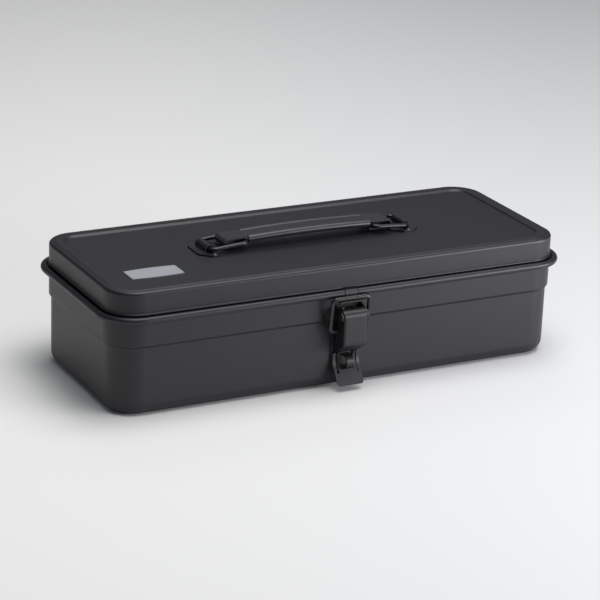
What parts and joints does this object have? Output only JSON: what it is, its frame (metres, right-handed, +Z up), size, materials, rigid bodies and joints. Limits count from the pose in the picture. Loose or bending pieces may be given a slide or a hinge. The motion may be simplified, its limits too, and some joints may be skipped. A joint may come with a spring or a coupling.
{
  "type": "trunk tool box",
  "caption": "Small black pressed-steel tool box with a hinged sunk-top lid, a lift-up arched handle on wire rings and a pull-down latch with a padlock staple.",
  "frame": {"origin": "centre of the tub's flat underside", "axes": "+X along the box, -Y out of the front that carries the latch, +Z up"},
  "size_m": [0.333, 0.1496, 0.0918],
  "materials": {
    "grip_black": "gloss black baked enamel on steel",
    "hardware_black": "gloss black baked enamel on steel",
    "label_metal": "bare satin plate",
    "lever_black": "gloss black baked enamel on steel",
    "lid_enamel": "gloss black baked enamel on steel",
    "pin_black": "gloss black baked enamel on steel",
    "rivet_black": "gloss black baked enamel on steel",
    "tub_enamel": "gloss black baked enamel on steel",
    "wire_black": "gloss black baked enamel on steel"
  },
  "bodies": {
    "tub": {"body_tub": "tub_enamel", "latch_base": "hardware_black", "latch_base_rivets": "rivet_black", "padlock_staple": "hardware_black", "lever_pin": "pin_black", "hinge_lower_leaf_left": "hardware_black", "hinge_lower_leaf_right": "hardware_black", "hinge_pin_left": "pin_black", "hinge_pin_right": "pin_black", "hinge_rivets_tub": "rivet_black"},
    "lid": {"lid_shell": "lid_enamel", "label_plate": "label_metal", "handle_bracket_left": "hardware_black", "handle_bracket_right": "hardware_black", "handle_bracket_rivets": "rivet_black", "lid_keeper": "hardware_black", "hinge_upper_leaf_left": "hardware_black", "hinge_upper_leaf_right": "hardware_black", "hinge_rivets_lid": "rivet_black"},
    "grip": {"handle_grip": "grip_black"},
    "ring_left": {"handle_ring_left": "wire_black"},
    "ring_right": {"handle_ring_right": "wire_black"},
    "lever": {"latch_lever": "lever_black"},
    "loop": {"latch_loop": "wire_black"}
  },
  "joints": [
    {"name": "lid_hinge", "type": "hinge", "parent": "tub", "child": "lid", "pos_m": [0, 0.0713, 0.0684], "axis": [-1, 0, 0], "range_deg": [0, 105]},
    {"name": "handle_lift", "type": "slide", "parent": "lid", "child": "grip", "axis": [0, 0, 1], "range_m": [0, 0.019]},
    {"name": "ring_left_turn", "type": "hinge", "parent": "lid", "child": "ring_left", "pos_m": [-0.0723, 0, 0.085], "axis": [0, -1, 0], "range_deg": [0, 46.9]},
    {"name": "ring_right_turn", "type": "hinge", "parent": "lid", "child": "ring_right", "pos_m": [0.0723, 0, 0.085], "axis": [0, 1, 0], "range_deg": [0, 46.9]},
    {"name": "lever_hinge", "type": "hinge", "parent": "tub", "child": "lever", "pos_m": [0, -0.0712, 0.0517], "axis": [-1, 0, 0], "range_deg": [0, 120]},
    {"name": "loop_hinge", "type": "hinge", "parent": "lever", "child": "loop", "pos_m": [0, -0.0676, 0.041], "axis": [-1, 0, 0], "range_deg": [-102.1, 0]}
  ],
  "couplings": [
    {"joint": "ring_left_turn", "follows": "handle_lift", "rad_per_m": 43},
    {"joint": "ring_right_turn", "follows": "handle_lift", "rad_per_m": 43},
    {"joint": "loop_hinge", "follows": "lever_hinge", "ratio": -0.85}
  ]
}
